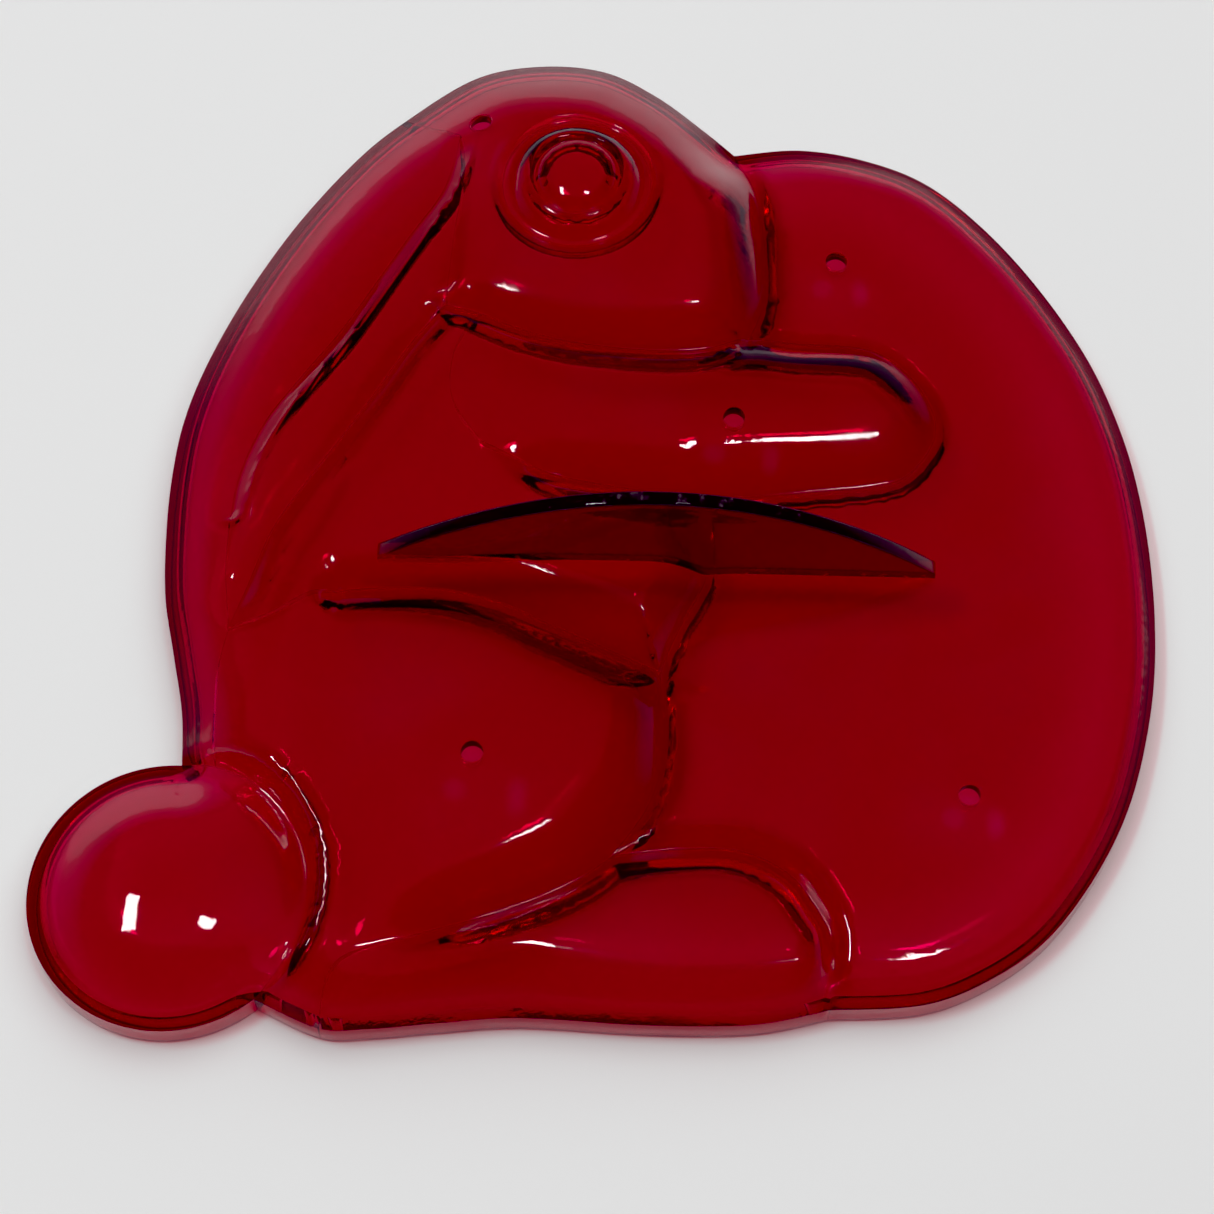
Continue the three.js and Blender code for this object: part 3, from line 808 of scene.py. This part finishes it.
def grip_solid():
    """A half-moon plate whose foot follows the relief.

    Each row of its cross section is a half width, a height and what the height is counted from.
    """
    half = GRIP_THICK / 2
    fillet = [math.radians(a) for a in (0, 22, 45, 67, 90)]
    sides = [(half + GRIP_FOOT * (1 - math.sin(a)), GRIP_FOOT * (1 - math.cos(a)), FROM_RELIEF)
             for a in fillet]
    crest = [math.radians(a) for a in (0, 30, 60, 90)]
    tops = [(half - GRIP_ROUND + GRIP_ROUND * math.cos(a), GRIP_ROUND * (math.sin(a) - 1), FROM_CREST)
            for a in crest]
    ups = [(half, share, BETWEEN) for share in np.linspace(0, 1, GRIP_ROWS)[1:-1]]
    right = sides + ups + tops
    foot = [(w, 0.0, FROM_RELIEF) for w in (half * GRIP_FOOT_SHARE, 0.0, -half * GRIP_FOOT_SHARE)]
    profile = right + [(-w, z, m) for w, z, m in reversed(right)]
    profile += [(-w, z, m) for w, z, m in foot]
    cosine, sine = math.cos(GRIP_TURN), math.sin(GRIP_TURN)
    turn = np.array([[cosine, -sine], [sine, cosine]])
    solid = Solid()
    rows = []
    for u in np.linspace(-1, 1, GRIP_STATIONS):
        across = np.array([w for w, _, _ in profile])
        local = np.column_stack([np.full(len(across), GRIP_HALF * u), across])
        xy = local @ turn.T + (GRIP_X, GRIP_Y)
        ground = relief_height(xy) - GRIP_SINK
        middle = relief_height(np.array([[GRIP_HALF * u, 0.0]]) @ turn.T + (GRIP_X, GRIP_Y))[0]
        end = GRIP_LEFT + (GRIP_RIGHT - GRIP_LEFT) * (u + 1) / 2
        crest_z = max(end + (GRIP_TOP - end) * (1 - u * u), middle + GRIP_LEAST)
        room = (crest_z - GRIP_ROUND) - (middle + GRIP_FOOT)
        scale = min(1.0, (crest_z - middle) / (GRIP_FOOT + GRIP_ROUND + GRIP_SPARE))
        z = []
        for (w, value, mode), g in zip(profile, ground):
            if mode == FROM_RELIEF:
                z.append(g + value * scale)
            elif mode == FROM_CREST:
                z.append(crest_z + value * scale)
            else:
                z.append(middle + GRIP_FOOT * scale + max(room, GRIP_LEAST_FACE) * value)
        rows.append(solid.add(xy, np.array(z)))
    for a, b in zip(rows, rows[1:]):
        solid.strip(a, b, True)
    solid.faces.append(tuple(int(i) for i in rows[0]))
    solid.faces.append(tuple(int(i) for i in reversed(rows[-1])))
    return solid


# ---------------------------------------------------------------- materials

TINT = (0.97, 0.3, 0.5, 1)                # colour at the surface
DEPTH_COLOUR = (0.943, 0.0, 0.7, 1)       # what is left of light inside the plastic
SHADOW_TINT = (0.97, 0.36, 0.42, 1)       # colour of the light that falls through onto the table
# The grip is the same plastic as the shell but absorbs nearly three times as strongly: painted shade that
# darkens the grip.
SHELL_DENSITY, GRIP_SHADED_DENSITY = 3000.0, 8500.0
REFRACTION = 1.5

# Noise in the gloss: scale and detail of each.
WAVES, GRAIN, SMUDGES, SCRATCHES = (160.0, 3.0), (1500.0, 2.0), (70.0, 5.0), (900.0, 4.0)
GRAIN_SHARE = 0.1                         # height of the grain, where the waves are 1
BUMP_STRENGTH, BUMP_DEPTH = 0.25, 0.0002
SMUDGE_RANGE, SMUDGE_ROUGHNESS = (0.45, 0.7), (0.03, 0.09)
SCRATCH_RANGE, SCRATCH_ROUGHNESS = (0.56, 0.7), (0, 0.4)
UPWARD_RANGE = (0.8, 0.95)                # how level a face has to be to catch scratches


def clear_red(name, density, scuffed=False):
    """Clear red plastic with waves, grain and smudges in its gloss; if scuffed, scratches on level faces."""
    material = bpy.data.materials.new(name)
    material.use_nodes = True
    nodes, links = material.node_tree.nodes, material.node_tree.links
    nodes.clear()
    output = nodes.new("ShaderNodeOutputMaterial")
    plastic = nodes.new("ShaderNodeBsdfPrincipled")
    plastic.inputs["Base Color"].default_value = TINT
    plastic.inputs["Transmission Weight"].default_value = 1.0
    plastic.inputs["IOR"].default_value = REFRACTION

    place = nodes.new("ShaderNodeTexCoord")

    def noise(kind):
        texture = nodes.new("ShaderNodeTexNoise")
        texture.inputs["Scale"].default_value, texture.inputs["Detail"].default_value = kind
        links.new(place.outputs["Object"], texture.inputs["Vector"])
        return texture.outputs["Fac"]

    def spread(value, source, target):
        ranged = nodes.new("ShaderNodeMapRange")
        for key, number in zip(("From Min", "From Max", "To Min", "To Max"), (*source, *target)):
            ranged.inputs[key].default_value = number
        links.new(value, ranged.inputs["Value"])
        return ranged.outputs["Result"]

    def combine(operation, first, second):
        node = nodes.new("ShaderNodeMath")
        node.operation = operation
        links.new(first, node.inputs[0])
        links.new(second, node.inputs[1])
        return node.outputs["Value"]

    waves = spread(noise(WAVES), (0, 1), (0, 1))
    grain = spread(noise(GRAIN), (0, 1), (0, GRAIN_SHARE))
    relief = combine("ADD", waves, grain)
    bump = nodes.new("ShaderNodeBump")
    bump.inputs["Strength"].default_value = BUMP_STRENGTH
    bump.inputs["Distance"].default_value = BUMP_DEPTH
    links.new(relief, bump.inputs["Height"])
    links.new(bump.outputs["Normal"], plastic.inputs["Normal"])

    roughness = spread(noise(SMUDGES), SMUDGE_RANGE, SMUDGE_ROUGHNESS)
    if scuffed:
        facing = nodes.new("ShaderNodeNewGeometry")
        split = nodes.new("ShaderNodeSeparateXYZ")
        links.new(facing.outputs["Normal"], split.inputs["Vector"])
        upward = spread(split.outputs["Z"], UPWARD_RANGE, (0, 1))
        scratches = spread(noise(SCRATCHES), SCRATCH_RANGE, SCRATCH_ROUGHNESS)
        roughness = combine("ADD", roughness, combine("MULTIPLY", upward, scratches))
    links.new(roughness, plastic.inputs["Roughness"])

    passing = nodes.new("ShaderNodeBsdfTransparent")
    passing.inputs["Color"].default_value = SHADOW_TINT
    path = nodes.new("ShaderNodeLightPath")
    mix = nodes.new("ShaderNodeMixShader")
    links.new(path.outputs["Is Shadow Ray"], mix.inputs["Fac"])
    links.new(plastic.outputs["BSDF"], mix.inputs[1])
    links.new(passing.outputs["BSDF"], mix.inputs[2])
    links.new(mix.outputs["Shader"], output.inputs["Surface"])

    depth = nodes.new("ShaderNodeVolumeAbsorption")
    depth.inputs["Color"].default_value = DEPTH_COLOUR
    depth.inputs["Density"].default_value = density
    links.new(depth.outputs["Volume"], output.inputs["Volume"])
    return material


def table_material():
    material = bpy.data.materials.new("table_white")
    material.use_nodes = True
    surface = material.node_tree.nodes["Principled BSDF"]
    surface.inputs["Base Color"].default_value = (0.86, 0.865, 0.86, 1)
    surface.inputs["Roughness"].default_value = 0.6
    return material


# ------------------------------------------------------------------- pieces

SHELL = clear_red("clear_red_plastic", SHELL_DENSITY)
# The grip's material: real scratches on its level faces, and painted shade in its denser absorption.
GRIP = clear_red("clear_red_grip_plastic", GRIP_SHADED_DENSITY, scuffed=True)


def settle(solid, name, node, material):
    piece = solid.finish(name)
    piece.data.materials.append(material)
    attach(piece, "root")
    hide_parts(node)
    return piece


for member, names in MEMBERS.items():
    holes = [(x, y, VENT_RADIUS, VENT_SIDES) for x, y in VENTS.get(member, [])]
    if member == "head":
        holes.append(HEAD_EYE)
    settle(member_solid(names, kind_of(member), holes), member + "_shell", member, SHELL)
ring_radii = np.linspace(EYE_RADIUS - SEAM, PUPIL_RADIUS + SEAM, EYE_ROWS)
pupil_radii = [PUPIL_RADIUS - SEAM, *np.linspace(DOME_RADIUS, 0, EYE_ROWS)]
settle(round_solid(ring_radii), "eye_ring_shell", "eye_ring", SHELL)
settle(round_solid(pupil_radii), "eye_button_shell", "eye_button", SHELL)
settle(grip_solid(), "finger_grip", "grip", GRIP)


# -------------------------------------------------------- table, light, view

# Metres, watts and degrees. Lamps: name, direction, distance, size across and along, power, whether
# they show in reflections.
TABLE_HALF = 1.5
LAMPS = [
    ("sky", (0.1, 0.45, 1), 1.2, 2.4, 2.4, 20.3, False),
    ("window", (-0.378, 0.023, 0.925), 1.0, 0.28, 0.096, 2.2, True),
    ("lamp", (0.19, -0.05, 0.982), 1.0, 0.087, 0.122, 0.9, True),
]
HORIZON, OVERHEAD = (0.35, 0.36, 0.38, 1), (0.03, 0.03, 0.032, 1)
OVERHEAD_FROM = 0.3                       # height on the sphere of directions where the dark part begins
VIEWER_STRENGTH, FAR_STRENGTH = 0.15, 1.0    # strength of the room's light from each side
VIEW_ELEVATION = 65
VIEW_DISTANCE = 0.35
VIEW_ANGLE = 19.6777
VIEW_TARGET = (0.65, -11.2, 6)            # in millimetres
BLACK_LEVEL = (0.0, 0.018, 0.003)


def add_table():
    mesh = bpy.data.meshes.new("table")
    corners = [(x * TABLE_HALF, y * TABLE_HALF, 0) for x, y in ((-1, -1), (1, -1), (1, 1), (-1, 1))]
    mesh.from_pydata(corners, [], [(0, 1, 2, 3)])
    table = bpy.data.objects.new("table", mesh)
    mesh.materials.append(table_material())
    bpy.context.scene.collection.objects.link(table)


def add_lamp(name, direction, distance, size_x, size_y, watts, glossy):
    """A rectangular lamp that faces the object from the given direction."""
    light = bpy.data.lights.new(name, "AREA")
    light.shape = "RECTANGLE"
    light.size, light.size_y = size_x, size_y
    light.energy = watts
    lamp = bpy.data.objects.new(name, light)
    way = Vector(direction).normalized()
    lamp.location = way * distance
    lamp.rotation_euler = way.to_track_quat("Z", "Y").to_euler()
    lamp.visible_glossy = glossy
    bpy.context.scene.collection.objects.link(lamp)


def add_world():
    """A dim room that is brighter near the horizon, and less so towards the viewer's side."""
    world = bpy.data.worlds.new("room")
    bpy.context.scene.world = world
    world.use_nodes = True
    nodes, links = world.node_tree.nodes, world.node_tree.links
    background = nodes["Background"]
    place = nodes.new("ShaderNodeTexCoord")
    split = nodes.new("ShaderNodeSeparateXYZ")
    ramp = nodes.new("ShaderNodeValToRGB")
    links.new(place.outputs["Generated"], split.inputs["Vector"])
    links.new(split.outputs["Z"], ramp.inputs["Fac"])
    links.new(ramp.outputs["Color"], background.inputs["Color"])
    ramp.color_ramp.elements[0].position = 0.0
    ramp.color_ramp.elements[0].color = HORIZON
    ramp.color_ramp.elements[1].position = OVERHEAD_FROM
    ramp.color_ramp.elements[1].color = OVERHEAD
    north = nodes.new("ShaderNodeMapRange")
    north.inputs["From Min"].default_value = -1.0
    north.inputs["From Max"].default_value = 0.6
    north.inputs["To Min"].default_value = VIEWER_STRENGTH
    north.inputs["To Max"].default_value = FAR_STRENGTH
    links.new(split.outputs["Y"], north.inputs["Value"])
    links.new(north.outputs["Result"], background.inputs["Strength"])


def add_camera():
    elevation = math.radians(VIEW_ELEVATION)
    target = Vector(VIEW_TARGET) * MM
    camera = bpy.data.objects.new("camera", bpy.data.cameras.new("camera"))
    way = Vector((0, -math.cos(elevation), math.sin(elevation)))
    camera.location = target + way * VIEW_DISTANCE
    camera.rotation_euler = way.to_track_quat("Z", "Y").to_euler()
    camera.data.angle = math.radians(VIEW_ANGLE)
    camera.data.clip_start = 0.01
    bpy.context.scene.collection.objects.link(camera)
    bpy.context.scene.camera = camera


add_table()
add_world()
for lamp_values in LAMPS:
    add_lamp(*lamp_values)
add_camera()

scene = bpy.context.scene
scene.view_settings.view_transform = "Standard"
scene.view_settings.use_curve_mapping = True
scene.view_settings.curve_mapping.black_level = BLACK_LEVEL
scene.cycles.caustics_refractive = False
scene.cycles.caustics_reflective = False
scene.cycles.transparent_max_bounces = 32
